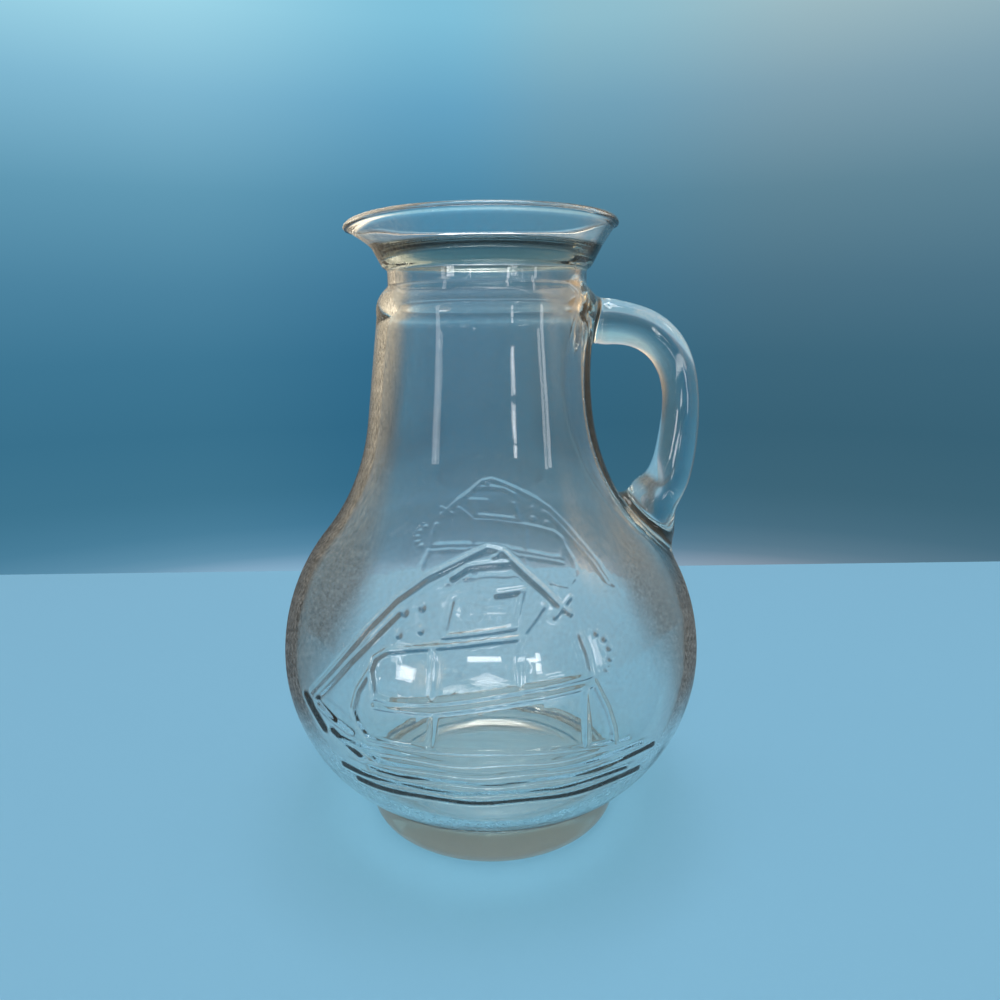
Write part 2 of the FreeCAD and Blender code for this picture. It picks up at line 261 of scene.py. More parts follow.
def outline():
    """The outline as stretches, each with its number of lattice cells: up, then down inside."""
    recess_arc = (FOOT_RECESS_RADIUS ** 2 + FOOT_RECESS_DEPTH ** 2) / (2 * FOOT_RECESS_DEPTH)
    recess_turn = math.degrees(math.asin(FOOT_RECESS_RADIUS / recess_arc))
    edge_centre = (FOOT_RADIUS - FOOT_EDGE_RADIUS, FOOT_EDGE_RADIUS)
    foot_top = (FOOT_TOP_RADIUS, FOOT_HEIGHT)
    outside = side_stretches(0, FOOT_HEIGHT)
    inside = side_stretches(WALL, FLOOR_CORNER_TOP)
    floor_edge = (FLOOR_RADIUS, FLOOR_HEIGHT)
    bead_level = TOTAL_HEIGHT - LIP_BEAD_RADIUS
    bead_centre = (MOUTH_RADIUS - LIP_BEAD_RADIUS, bead_level)
    waist = GROOVE_RADIUS - WAIST_WALL
    throat = (CREASE_RADIUS - MOUTH_WALL, CREASE_LEVEL)
    seat = (waist + SEAT_WIDTH, CREASE_LEVEL - SEAT_DROP)
    up = [
        (arc((0, FOOT_RECESS_DEPTH - recess_arc), recess_arc, 90, 90 - recess_turn), 12),
        (line((FOOT_RECESS_RADIUS, 0), (edge_centre[0], 0)), 3),
        (arc(edge_centre, FOOT_EDGE_RADIUS, -90, 0), 5),
        (line((FOOT_RADIUS, FOOT_EDGE_RADIUS), foot_top), 5),
        (outside[0], 26),
        (outside[1], 20),
        (outside[2], 19),
        (outside[3], 12),
        (bulged(outside[3][-1], (GROOVE_RADIUS, GROOVE_LOW), NECK_ROUND_BULGE), 8),
        (line((GROOVE_RADIUS, GROOVE_LOW), (GROOVE_RADIUS, GROOVE_HIGH)), 6),
        (line((GROOVE_RADIUS, GROOVE_HIGH), (LEDGE_RADIUS, LEDGE_LEVEL)), 4),
        (line((LEDGE_RADIUS, LEDGE_LEVEL), (CREASE_RADIUS, CREASE_LEVEL)), 5),
        (line((CREASE_RADIUS, CREASE_LEVEL), (MOUTH_RADIUS - LIP_OVERHANG, bead_level)), 6),
        (arc(bead_centre, LIP_BEAD_RADIUS, -20, 90), 5),
    ]
    down = [
        (arc(bead_centre, LIP_BEAD_RADIUS, 90, 180), 4),
        (line((MOUTH_RADIUS - 2 * LIP_BEAD_RADIUS, bead_level), throat), 6),
        (line(throat, seat), 3),
        (line(seat, (waist, GROOVE_LOW)), 6),
        (line((waist, GROOVE_LOW), inside[3][-1]), 5),
        (inside[3][::-1], 8),
        (inside[2][::-1], 11),
        (inside[1][::-1], 11),
        (inside[0][::-1], 11),
        (bulged(floor_edge, inside[0][0], FLOOR_CORNER_BULGE)[::-1], 5),
        (line(floor_edge, (0, FLOOR_HEIGHT)), 7),
    ]
    return up, down


def lattice_rows(stretches):
    """The outline at every fine row: corners rounded by a running mean along its length.

    Within a stretch the rows are evenly spaced, so a row is found from its cell number.
    """
    path = np.vstack([points for points, cells in stretches])
    length = np.concatenate([[0], np.cumsum(np.hypot(*np.diff(path, axis=0).T))])
    ends = np.cumsum([len(points) for points, cells in stretches]) - 1
    end_lengths = np.concatenate([[0], length[ends]])
    end_cells = np.concatenate([[0], np.cumsum([cells for points, cells in stretches])])
    even = np.arange(0, length[-1], DENSE_STEP)
    window = int(CORNER_WINDOW / DENSE_STEP) | 1
    kernel = np.hanning(window + 2)[1:-1]
    kernel /= kernel.sum()
    rounded = []
    for axis in range(2):
        values = np.interp(even, length, path[:, axis])
        # carried on past both poles: the radius turns its sign, the height doesn't
        half = window // 2
        sign = -1 if axis == 0 else 1
        values = np.concatenate([sign * values[half:0:-1], values, sign * values[-2:-half - 2:-1]])
        rounded.append(np.convolve(values, kernel, mode="valid"))
    cells = np.arange(end_cells[-1] * FINE + 1) / FINE
    at = np.interp(cells, end_cells, end_lengths)
    return [np.interp(at, even, values) for values in rounded] + [end_cells]


# ---- raised lines --------------------------------------------------------------------------
def distance_to_line(x, z, points):
    """Distance of every (x, z) from a chain of straight runs."""
    best = np.full(x.shape, 1e9)
    for (x0, z0), (x1, z1) in zip(points[:-1], points[1:]):
        dx, dz = x1 - x0, z1 - z0
        share = np.clip(((x - x0) * dx + (z - z0) * dz) / (dx * dx + dz * dz), 0, 1)
        best = np.minimum(best, np.hypot(x - x0 - share * dx, z - z0 - share * dz))
    return best


def ridge(distance, width):
    """Height of a rounded ridge at a distance from its middle: (1 - q squared) squared."""
    q = np.clip(distance / width, 0, 1)
    return (1 - q * q) ** 2


def ship_relief(x, rise, spread):
    """Height of the raised lines, 0 to 1, at x across and a rise above the belly's widest level.

    Each ridge reaches a share of its line's width, and a spread more, to each side.
    """
    height = np.zeros(x.shape)
    for width, points in SHIP_LINES:
        distance = distance_to_line(x, rise, points)
        height = np.maximum(height, ridge(distance, LINE_REACH * width + spread))
    for radius, places in SHIP_STUDS:
        for place in places:
            distance = np.hypot(x - place[0], rise - place[1])
            height = np.maximum(height, ridge(distance, STUD_REACH * radius + spread))
    for index, level in enumerate(WAVE_LEVELS):
        shift = WAVE_LENGTH / 2 * (index % WAVE_SHIFTS) / WAVE_SHIFTS
        turn = 2 * math.pi * (x - WAVE_START - shift) / WAVE_LENGTH
        middle = level - WAVE_RISE * np.sin(turn)
        slope = WAVE_RISE * 2 * math.pi / WAVE_LENGTH * np.cos(turn)
        beyond = np.maximum(np.abs(x - shift - (WAVE_START + WAVE_END) / 2)
                            - (WAVE_END - WAVE_START) / 2, 0)
        distance = np.hypot((rise - middle) / np.sqrt(1 + slope ** 2), beyond)
        wave = ridge(distance, WAVE_REACH * WAVE_WIDTH + spread)
        height = np.maximum(height, WAVE_SHARE * wave)
    return height


# ---- the closed surface --------------------------------------------------------------------
def smooth_min(a, b, rounding):
    """The lesser of two values, blended over a rounding where they are nearly equal."""
    mix = np.maximum(rounding - np.abs(a - b), 0) / rounding
    return np.minimum(a, b) - mix * mix * rounding / 4


def scooped(radius, height, cos_around, inset):
    """The radius held back by the scoop behind the handle, a cylinder that lies across."""
    face = side_stretches(0, FOOT_HEIGHT)[3][-1][0] - SCOOP_DEPTH
    reach = (SCOOP_ARC + inset) ** 2 - (height - SCOOP_HEIGHT) ** 2
    flat = face + SCOOP_ARC - np.sqrt(np.maximum(reach, 0))
    held = (cos_around > SCOOP_LEAST_COSINE) & (reach > 0)
    limit = np.where(held, flat / np.maximum(cos_around, SCOOP_LEAST_COSINE), 1e9)
    return smooth_min(radius, limit, SCOOP_ROUNDING)


def spout_share(around, height):
    """How far the mouth swells here, 0 to 1: squared cosine round it, a power of the rise."""
    off = np.degrees(np.abs(np.abs(around) - math.pi))
    swell = np.where(off < SPOUT_HALF_ANGLE, np.cos(math.pi / 2 * off / SPOUT_HALF_ANGLE) ** 2, 0)
    rise = np.clip((height - CREASE_LEVEL) / (TOTAL_HEIGHT - LIP_BEAD_RADIUS - CREASE_LEVEL), 0, 1)
    return swell * rise ** SPOUT_GROWTH


def rows_of(stretches, end_cells):
    """The fine rows of a run of stretches, both ends included."""
    first, past = stretches
    return slice(int(end_cells[first]) * FINE, int(end_cells[past]) * FINE + 1)


def angles_around():
    """The angle of every fine column, from +X anticlockwise."""
    return np.arange(COLUMNS * FINE) * 2 * math.pi / (COLUMNS * FINE)


def glass_lattice():
    """Points of the closed surface at every fine row and column, a mask of the points that the
    raised lines lift, and the number of rows on the outside.

    A point is (radius cos, radius sin, height) of the outline at its row, with the radius held
    back by the scoop, swollen at the spout, and the raised lines added along the outline's
    normal.
    """
    up, down = outline()
    radius, height, end_cells = lattice_rows(up + down)
    outer_rows = sum(cells for points, cells in up) * FINE
    slope_r = np.gradient(radius)
    slope_z = np.gradient(height)
    size = np.hypot(slope_r, slope_z)
    normal_r, normal_z = slope_z / size, -slope_r / size
    around = angles_around()
    cos_a, sin_a = np.cos(around), np.sin(around)
    r = np.repeat(radius[:, None], len(around), axis=1)
    z = np.repeat(height[:, None], len(around), axis=1)

    belly = rows_of(BELLY_STRETCHES, end_cells)
    x_face = np.where(sin_a < 0, 1, -1) * r[belly] * cos_a
    rise = z[belly] - BELLY_HEIGHT
    front = np.repeat(sin_a[None, :] < 0, len(rise), axis=0)
    relief = np.where(front, ship_relief(x_face, rise, FRONT_SPREAD),
                      BACK_SHARE * ship_relief(x_face, rise, BACK_SPREAD))
    r[belly] += RELIEF_HEIGHT * relief * normal_r[belly, None]
    z[belly] += RELIEF_HEIGHT * relief * normal_z[belly, None]

    neck_out = rows_of(NECK_OUTSIDE, end_cells)
    r[neck_out] = scooped(r[neck_out], z[neck_out], cos_a, 0)
    neck_in = rows_of(NECK_INSIDE, end_cells)
    r[neck_in] = scooped(r[neck_in], z[neck_in], cos_a, WALL)

    share = spout_share(around[None, :], z)
    share[:int(end_cells[MOUTH_STRETCHES[0]]) * FINE] = 0
    share[int(end_cells[MOUTH_STRETCHES[1]]) * FINE:] = 0
    r += SPOUT_REACH * share
    z -= SPOUT_DIP * share

    points = np.stack([r * cos_a, r * sin_a, z], axis=2)
    fine = np.zeros(z.shape, bool)
    fine[belly] = relief > 0
    return points, fine, outer_rows


def wide_mask(fine, rows):
    """Coarse cells that hold any marked fine point."""
    marked = np.zeros((rows, COLUMNS), bool)
    wrapped = np.concatenate([fine, fine[:, :1]], axis=1)
    for i in range(FINE + 1):
        for j in range(FINE + 1):
            marked |= wrapped[i:i + rows * FINE:FINE, j:j + COLUMNS * FINE:FINE]
    return marked


def ring_of(row, column):
    """The fine points round each coarse cell, anticlockwise from its low corner."""
    step = np.arange(FINE)
    zero = np.zeros(FINE, int)
    rows = np.concatenate([zero, step, zero + FINE, FINE - step])
    columns = np.concatenate([step, zero + FINE, FINE - step, zero])
    return row[:, None] * FINE + rows, (column[:, None] * FINE + columns) % (COLUMNS * FINE)


def lattice_mesh(points, marked):
    """Vertices and faces: small quads in marked cells, one face for each other cell.

    A plain cell beside a marked one also takes in the fine points on their shared edge, so the
    surface has no gap. Both ends close in a fan about the axis.
    """
    rows = marked.shape[0]
    small = np.repeat(np.repeat(marked, FINE, axis=0), FINE, axis=1)
    used = np.zeros(points.shape[:2], bool)
    used[::FINE, ::FINE] = True
    for i in (0, 1):
        for j in (0, 1):
            used[i:i + rows * FINE] |= np.roll(small, j, axis=1)
    used[0] = used[-1] = False
    number = np.full(used.shape, -1)
    number[used] = np.arange(used.sum())
    vertices = points[used]

    row, column = np.nonzero(small)
    right = (column + 1) % (COLUMNS * FINE)
    quads = np.column_stack([number[row, column], number[row, right],
                             number[row + 1, right], number[row + 1, column]])
    inner = ~marked
    inner[0] = inner[-1] = False
    row, column = np.nonzero(inner)
    ring = number[ring_of(row, column)]
    beside = [marked[row - 1, column], marked[row, (column + 1) % COLUMNS],
              marked[np.minimum(row + 1, rows - 1), column], marked[row, column - 1]]
    keep = np.repeat(np.column_stack(beside), FINE, axis=1)
    keep[:, ::FINE] = True
    sizes = np.concatenate([np.full(len(quads), 4), keep.sum(axis=1)])
    loops = np.concatenate([quads.ravel(), ring[keep]])

    poles = []
    for edge, pole in ((FINE, points[0, 0]), (len(points) - 1 - FINE, points[-1, 0])):
        rim = number[edge, ::FINE]
        following = np.roll(rim, -1)
        centre = len(vertices) + len(poles) * np.ones(COLUMNS, int)
        fan = [centre, following, rim] if edge == FINE else [rim, following, centre]
        poles.append(pole * (0, 0, 1))
        sizes = np.concatenate([sizes, np.full(COLUMNS, 3)])
        loops = np.concatenate([loops, np.column_stack(fan).ravel()])
    return np.vstack([vertices] + poles), sizes, loops


def mesh_from(name, vertices, sizes, loops):
    """A mesh of vertices in millimetres and faces given as sizes and a run of corners."""
    mesh = bpy.data.meshes.new(name)
    mesh.vertices.add(len(vertices))
    mesh.vertices.foreach_set("co", (np.asarray(vertices) * MM).astype(np.float32).ravel())
    mesh.loops.add(len(loops))
    mesh.loops.foreach_set("vertex_index", np.asarray(loops, np.int32))
    mesh.polygons.add(len(sizes))
    starts = np.concatenate([[0], np.cumsum(sizes)[:-1]]).astype(np.int32)
    mesh.polygons.foreach_set("loop_start", starts)
    mesh.update(calc_edges=True)
    mesh.validate()
    piece = bpy.data.objects.new(name, mesh)
    bpy.context.scene.collection.objects.link(piece)
    return piece


def closed_shell():
    """The glass without its handle, as vertices, face sizes and corners."""
    points, fine, outer_rows = glass_lattice()
    x, y, z = np.moveaxis(points, 2, 0)
    side = (np.arange(len(points))[:, None] < outer_rows) & (x > ROOT_START)
    for low, high, half_width in ROOT_AREAS:
        fine |= side & (z > low) & (z < high) & (np.abs(y) < half_width)
    marked = wide_mask(fine, (len(points) - 1) // FINE)
    marked[0] = marked[-1] = False
    return lattice_mesh(points, marked)


def core():
    """A solid whose side runs through the middle of the wall; it trims the handle's roots."""
    middle = WALL / 2
    side = side_stretches(middle, FLOOR_CORNER_TOP)
    waist = GROOVE_RADIUS - WAIST_WALL / 2
    stretches = [(line((0, FLOOR_CORNER_TOP), side[0][0]), 4)]
    stretches += [(points, 16) for points in side]
    stretches += [
        (line(side[3][-1], (waist, GROOVE_LOW)), 6),
        (line((waist, GROOVE_LOW), (waist, GROOVE_HIGH)), 3),
        (line((waist, GROOVE_HIGH), (0, GROOVE_HIGH)), 4),
    ]
    radius, height, _ = lattice_rows(stretches)
    around = angles_around()
    z = np.repeat(height[:, None], len(around), axis=1)
    r = scooped(np.repeat(radius[:, None], len(around), axis=1), z, np.cos(around), middle)
    points = np.stack([r * np.cos(around), r * np.sin(around), z], axis=2)
    marked = np.zeros(((len(points) - 1) // FINE, COLUMNS), bool)
    return mesh_from("core", *lattice_mesh(points, marked))


# ---- the handle ----------------------------------------------------------------------------
def smooth_curve(knots, values, at):
    """A natural cubic spline through values at knots, read at other places."""
    count = len(knots)
    gap = np.diff(knots)
    bend = np.eye(count)
    pull = np.zeros((count, values.shape[1]))
    for i in range(1, count - 1):
        bend[i, i - 1:i + 2] = gap[i - 1], 2 * (gap[i - 1] + gap[i]), gap[i]
        pull[i] = 6 * ((values[i + 1] - values[i]) / gap[i]
                       - (values[i] - values[i - 1]) / gap[i - 1])
    second = np.linalg.solve(bend, pull)
    cell = np.clip(np.searchsorted(knots, at) - 1, 0, count - 2)
    width = gap[cell][:, None]
    right = (at[:, None] - knots[cell][:, None]) / width
    left = 1 - right
    bent = (left ** 3 - left) * second[cell] + (right ** 3 - right) * second[cell + 1]
    return left * values[cell] + right * values[cell + 1] + width ** 2 / 6 * bent


def handle_tube():
    """The handle: oval rings square to a smooth line through the stations, closed at both ends."""
    knots = np.concatenate([[0], np.cumsum(np.hypot(*np.diff(HANDLE_STATIONS[:, :2], axis=0).T))])
    at = np.linspace(0, knots[-1], HANDLE_RINGS)
    x, z, thickness = smooth_curve(knots, HANDLE_STATIONS, at).T
    along_x, along_z = np.gradient(x), np.gradient(z)
    size = np.hypot(along_x, along_z)
    across_x, across_z = -along_z / size, along_x / size
    half_width = (HANDLE_WIDTH + HANDLE_WIDTH_GAIN * (thickness - HANDLE_THIN)) / 2
    turn = np.arange(HANDLE_SIDES) * 2 * math.pi / HANDLE_SIDES
    out = thickness[:, None] / 2 * np.cos(turn)
    points = np.stack([x[:, None] + across_x[:, None] * out,
                       half_width[:, None] * np.sin(turn),
                       z[:, None] + across_z[:, None] * out], axis=2)
    number = np.arange(HANDLE_RINGS * HANDLE_SIDES).reshape(HANDLE_RINGS, HANDLE_SIDES)
    following = np.roll(number, -1, axis=1)
    quads = np.stack([number[:-1], number[1:], following[1:], following[:-1]], axis=2)
    caps = np.concatenate([number[0], number[-1][::-1]])
    sizes = np.concatenate([np.full(quads.size // 4, 4), [HANDLE_SIDES, HANDLE_SIDES]])
    loops = np.concatenate([quads.ravel(), caps])
    return mesh_from("handle_tube", points.reshape(-1, 3), sizes, loops)


def combined(piece, other, operation):
    """The piece joined with or cut by another, as a new mesh; the other object is removed."""
    modifier = piece.modifiers.new("combine", "BOOLEAN")
    modifier.operation = operation
    modifier.solver = "MANIFOLD"
    modifier.object = other
    depsgraph = bpy.context.evaluated_depsgraph_get()
    mesh = bpy.data.meshes.new_from_object(piece.evaluated_get(depsgraph))
    piece.modifiers.clear()
    piece.data = mesh
    bpy.data.objects.remove(other)
    return piece


def read_values(items, name, width, kind):
    """A property of all vertices, edges, faces or corners, as rows of so many values."""
    values = np.empty(len(items) * width, kind)
    items.foreach_get(name, values)
    return values.reshape(-1, width) if width > 1 else values


def softened_roots(mesh):
    """The crease where the handle meets the glass, drawn into a soft fillet.

    Each vertex within reach of the crease, measured along the mesh, moves step by step to the
    mean of its neighbours, by a share that falls off as (1 - distance / reach) squared. The low
    root spreads wider over the belly than the high one does over the neck.
    """
    places = read_values(mesh.vertices, "co", 3, np.float32).astype(float) / MM
    edges = read_values(mesh.edges, "vertices", 2, np.int32)
    normals = read_values(mesh.polygons, "normal", 3, np.float32)
    corners = read_values(mesh.polygons, "loop_total", 1, np.int32)
    face_of = np.repeat(np.arange(len(mesh.polygons)), corners)
    order = np.argsort(read_values(mesh.loops, "edge_index", 1, np.int32), kind="stable")
    first, second = face_of[order][0::2], face_of[order][1::2]
    turn = np.einsum("ij,ij->i", normals[first], normals[second])
    middle = places[edges].mean(axis=1)
    near = (middle[:, 0] > ROOT_START) & (np.abs(middle[:, 1]) < CREASE_HALF_WIDTH)
    near &= (middle[:, 2] > CREASE_LOW) & (middle[:, 2] < CREASE_HIGH)
    creased = near & (turn < math.cos(math.radians(CREASE_DEGREES)))
    distance = np.full(len(places), 1e9)
    distance[edges[creased].ravel()] = 0
    start, end = edges.T
    size = np.linalg.norm(places[start] - places[end], axis=1)
    for _ in range(CREASE_STEPS):
        np.minimum.at(distance, start, distance[end] + size)
        np.minimum.at(distance, end, distance[start] + size)
    reach = np.where(places[:, 2] > ROOTS_APART, FILLET_REACH_HIGH, FILLET_REACH_LOW)
    share = np.clip(1 - distance / reach, 0, 1) ** 2
    moving = (share[start] > 0) | (share[end] > 0)
    start, end = start[moving], end[moving]
    count = np.zeros(len(places))
    np.add.at(count, start, 1)
    np.add.at(count, end, 1)
    count = np.maximum(count, 1)[:, None]
    for _ in range(FILLET_STEPS):
        total = np.zeros_like(places)
        np.add.at(total, start, places[end])
        np.add.at(total, end, places[start])
        pull = np.where(share[:, None] > 0, total / count - places, 0)
        places += share[:, None] * FILLET_PULL * pull
    mesh.vertices.foreach_set("co", (places * MM).astype(np.float32).ravel())
    mesh.update()


# ---- making --------------------------------------------------------------------------------
def make_glass():
    """The whole pitcher: the shell, the handle trimmed inside the wall, and soft roots."""
    glass = mesh_from("pitcher_glass", *closed_shell())
    handle = combined(handle_tube(), core(), "DIFFERENCE")
    combined(glass, handle, "UNION")
    softened_roots(glass.data)
    glass.data.polygons.foreach_set("use_smooth", [True] * len(glass.data.polygons))
    return glass


# ---- the glass's finish --------------------------------------------------------------------
GLASS_IOR = 1.5
GLASS_ROUGHNESS = 0.03
# tints of the clear glass, of the thick ring under the flare, and of the flare above it; the
# ring's dark grey-green is painted shade, standing in for dark surroundings seen through it; the
# ring starts at RING_LOW in centimetres and is one high
CLEAR = (0.98, 0.985, 0.98)
RING_PAINTED_SHADE = (0.22, 0.27, 0.26)
FLARE = (1, 1, 1)
RING_LOW = 20.15
TINT_AND_RING_SHADE_STOPS = [(0.08, CLEAR), (0.2, RING_PAINTED_SHADE), (0.8, RING_PAINTED_SHADE), (1.0, FLARE)]
# what the thickness of the glass takes from the light, and what is left of light that casts
# the shadow
DEPTH_COLOUR = (0.80, 0.82, 0.76, 1)
DEPTH_DENSITY = 30.0
SHADOW_TINT = (0.82, 0.85, 0.85, 1)
# uneven surface: size of its waves and their depth in metres
RIPPLE_SCALE = 55.0
RIPPLE_STRENGTH = 0.25
RIPPLE_DEPTH = 0.0004
# share of frosted surface under the foot, and the heights where it ends and is whole
FOOT_FROST = 0.34
FROST_END = 0.0040
FROST_WHOLE = 0.0030
FROST_AND_HAZE_COLOUR = (0.40, 0.44, 0.45, 1)
FROST_ROUGHNESS = 0.6
# share of fine grey specks all over: partly dust and scuffs, partly painted sheen that stands in
# for the hazy reflections on the glass
DUST_AND_SHEEN = 0.024
DUST_AND_SHEEN_SCALE = 700.0


def srgb(red, green, blue):
    """A colour given in 0 to 255 display values, as linear light."""
    shown = np.array([red, green, blue]) / 255
    return tuple(np.where(shown <= 0.04045, shown / 12.92, ((shown + 0.055) / 1.055) ** 2.4))


def math_node(tree, operation, *values):
    """A Math node whose inputs are links or plain numbers; gives its output."""
    made = tree.nodes.new("ShaderNodeMath")
    made.operation = operation
    for index, value in enumerate(values):
        if isinstance(value, (int, float)):
            made.inputs[index].default_value = value
        else:
            tree.links.new(value, made.inputs[index])
    return made.outputs["Value"]


def soft_step(tree, value, none, whole):
    """0 up to where the value is none, 1 from where it is whole, and a smooth step between."""
    made = tree.nodes.new("ShaderNodeMapRange")
    made.interpolation_type = "SMOOTHSTEP"
    made.inputs["From Min"].default_value = none
    made.inputs["From Max"].default_value = whole
    tree.links.new(value, made.inputs["Value"])
    return made.outputs["Result"]


def colour_ramp(tree, share, table_of_stops, interpolation="LINEAR"):
    """A colour ramp of positions from 0 to 1 and colours in linear light."""
    made = tree.nodes.new("ShaderNodeValToRGB")
    made.color_ramp.interpolation = interpolation
    tree.links.new(share, made.inputs["Fac"])
    stops = made.color_ramp.elements
    stops.remove(stops[-1])
    for index, (position, colour) in enumerate(table_of_stops):
        stop = stops[0] if index == 0 else stops.new(position)
        stop.position = position
        stop.color = (*colour, 1)
    return made.outputs["Color"]


def noise(tree, place, scale, detail):
    """A noise texture's strength at a place, in cells of the inverse of a scale."""
    made = tree.nodes.new("ShaderNodeTexNoise")
    made.inputs["Scale"].default_value = scale
    made.inputs["Detail"].default_value = detail
    tree.links.new(place, made.inputs["Vector"])
    return made.outputs["Fac"]


def mixed(tree, share, first, second):
    """Two shaders mixed: none of the second where the share is 0."""
    made = tree.nodes.new("ShaderNodeMixShader")
    tree.links.new(share, made.inputs["Fac"])
    tree.links.new(first, made.inputs[1])
    tree.links.new(second, made.inputs[2])
    return made.outputs["Shader"]


def new_material(name):
    """A material with an empty node tree, its object coordinates and their x, y and z."""
    material = bpy.data.materials.new(name)
    material.use_nodes = True
    tree = material.node_tree
    tree.nodes.clear()
    place = tree.nodes.new("ShaderNodeTexCoord").outputs["Object"]
    split = tree.nodes.new("ShaderNodeSeparateXYZ")
    tree.links.new(place, split.inputs["Vector"])
    return material, tree, place, split.outputs


def glass_material():
    """Clear glass with a faint grey-green depth; light passes it on its way to the table."""
    material, tree, place, split = new_material("clear_glass")
    surface = tree.nodes.new("ShaderNodeBsdfPrincipled")
    surface.inputs["Transmission Weight"].default_value = 1.0
    surface.inputs["IOR"].default_value = GLASS_IOR
    surface.inputs["Roughness"].default_value = GLASS_ROUGHNESS
    # the ring's dark grey-green is painted shade, set into the glass's colour by height
    rise = math_node(tree, "SUBTRACT", math_node(tree, "MULTIPLY", split["Z"], 100.0), RING_LOW)
    tree.links.new(colour_ramp(tree, rise, TINT_AND_RING_SHADE_STOPS, "EASE"), surface.inputs["Base Color"])
    bump = tree.nodes.new("ShaderNodeBump")
    bump.inputs["Strength"].default_value = RIPPLE_STRENGTH
    bump.inputs["Distance"].default_value = RIPPLE_DEPTH
    tree.links.new(noise(tree, place, RIPPLE_SCALE, 1.0), bump.inputs["Height"])
    tree.links.new(bump.outputs["Normal"], surface.inputs["Normal"])

    frost_and_haze = tree.nodes.new("ShaderNodeBsdfPrincipled")
    frost_and_haze.inputs["Base Color"].default_value = FROST_AND_HAZE_COLOUR
    frost_and_haze.inputs["Roughness"].default_value = FROST_ROUGHNESS
    # fine grey specks all over are partly dust and partly painted sheen; under the foot the same
    # grey makes a frosted underside
    specks = math_node(tree, "POWER", noise(tree, place, DUST_AND_SHEEN_SCALE, 0.0), 2.0)
    dust_and_sheen = math_node(tree, "MULTIPLY", specks, 4 * DUST_AND_SHEEN)
    under = soft_step(tree, split["Z"], FROST_END, FROST_WHOLE)
    frost_dust_and_sheen = math_node(tree, "MAXIMUM", dust_and_sheen, math_node(tree, "MULTIPLY", under, FOOT_FROST))
    seen = mixed(tree, frost_dust_and_sheen, surface.outputs["BSDF"], frost_and_haze.outputs["BSDF"])

    clear = tree.nodes.new("ShaderNodeBsdfTransparent")
    clear.inputs["Color"].default_value = SHADOW_TINT
    path = tree.nodes.new("ShaderNodeLightPath")
    both = mixed(tree, path.outputs["Is Shadow Ray"], seen, clear.outputs["BSDF"])
    depth = tree.nodes.new("ShaderNodeVolumeAbsorption")
    depth.inputs["Color"].default_value = DEPTH_COLOUR
    depth.inputs["Density"].default_value = DEPTH_DENSITY
    output = tree.nodes.new("ShaderNodeOutputMaterial")
    tree.links.new(both, output.inputs["Surface"])
    tree.links.new(depth.outputs["Volume"], output.inputs["Volume"])
    return material


# ---- the table, the backdrop and the light -------------------------------------------------
# the table's edges in metres, from the middle of the foot
TABLE_HALF_WIDTH = 1.6
TABLE_FRONT = -2.0
TABLE_EDGE = 0.287
TABLE_COLOUR = (127, 181, 210)
TABLE_ROUGHNESS = 0.9
TABLE_SPECULAR = 0.1

# backdrop colours by elevation above the horizon, in degrees
BACKDROP = [
    (-90, (120, 172, 203)),
    (-20, (143, 196, 221)),
    (-18.3, (158, 200, 224)),
    (-17.2, (140, 176, 202)),
    (-16.0, (93, 143, 171)),
    (-14.0, (72, 126, 154)),
    (-11.5, (62, 117, 144)),
    (-7.0, (57, 113, 141)),
    (-2.0, (62, 119, 148)),
    (3.0, (76, 132, 161)),
    (9.0, (96, 153, 180)),
    (15.0, (128, 184, 210)),
    (20.0, (160, 215, 233)),
    (45, (190, 228, 240)),
    (90, (215, 236, 243)),
]
# shares of the backdrop's light across its width, against the sideways part of the direction,
# which is shifted by ACROSS_SHIFT to start at 0
BACKDROP_ACROSS = [
    (-0.38, (1, 1, 1)),
    (-0.05, (0.62, 0.78, 0.86)),
    (0.12, (0.78, 0.76, 0.76)),
    (0.38, (0.98, 0.74, 0.68)),
]
ACROSS_SHIFT = 0.5
# the room in front of the backdrop, by elevation, seen only in the glass
ROOM = [
    (-90, (120, 172, 203)),
    (-16, (128, 178, 205)),
    (-10, (112, 116, 116)),
    (4, (122, 118, 114)),
    (16, (160, 154, 148)),
    (30, (204, 196, 188)),
    (50, (235, 226, 216)),
    (90, (250, 240, 230)),
]
# the part of the direction towards +Y where the room ends and the backdrop is whole
BACKDROP_TURN = (0.45, 0.78)
WORLD_LIGHT = 0.5

# glowing cards at the two sides, painted light that stands in for lit silver walls: place across,
# then the low, high, front and back edges, in metres, and a tint
CARDS = [
    ("card_left", -0.086, 0.0, 0.42, -0.06, 0.27, (0.86, 0.88, 0.9)),
    ("card_right_low", 0.092, 0.0, 0.112, -0.06, 0.27, (1, 1, 1)),
    ("card_right_high", 0.15, 0.12, 0.42, -0.11, 0.15, (1.15, 0.92, 0.66)),
]
# a card's painted light, brighter high up in front where the lamps light the silver: its colours
# and strengths, against its height as a share of CARD_HEIGHT less CARD_LEAN of the place towards
# the back; the shares run from TONE_START over TONE_SPAN
CARD_GLOW_TONES = [
    (-0.15, (118, 150, 170), 0.9),
    (0.06, (104, 118, 126), 0.8),
    (0.22, (110, 108, 104), 0.8),
    (0.44, (188, 172, 148), 1.2),
    (0.58, (244, 226, 198), 2.2),
    (1.00, (250, 240, 224), 3.0),
]
CARD_HEIGHT = 0.42
CARD_LEAN = 0.6
TONE_START = -0.15
TONE_SPAN = 1.15
TONE_STRONGEST = 3.0
# painted glints of fine dimples: their scale, and the power that makes the bright ones stand out
DIMPLE_SCALE = 520.0
DIMPLE_POWER = 2.5
# how far in from the low, high, back and front edges a card fades, in metres
CARD_FADES = (0.05, 0.04, 0.15, 0.04)
# a card is clear when looked at squarely, and whole from this much of a slant
CARD_SLANT = 0.16

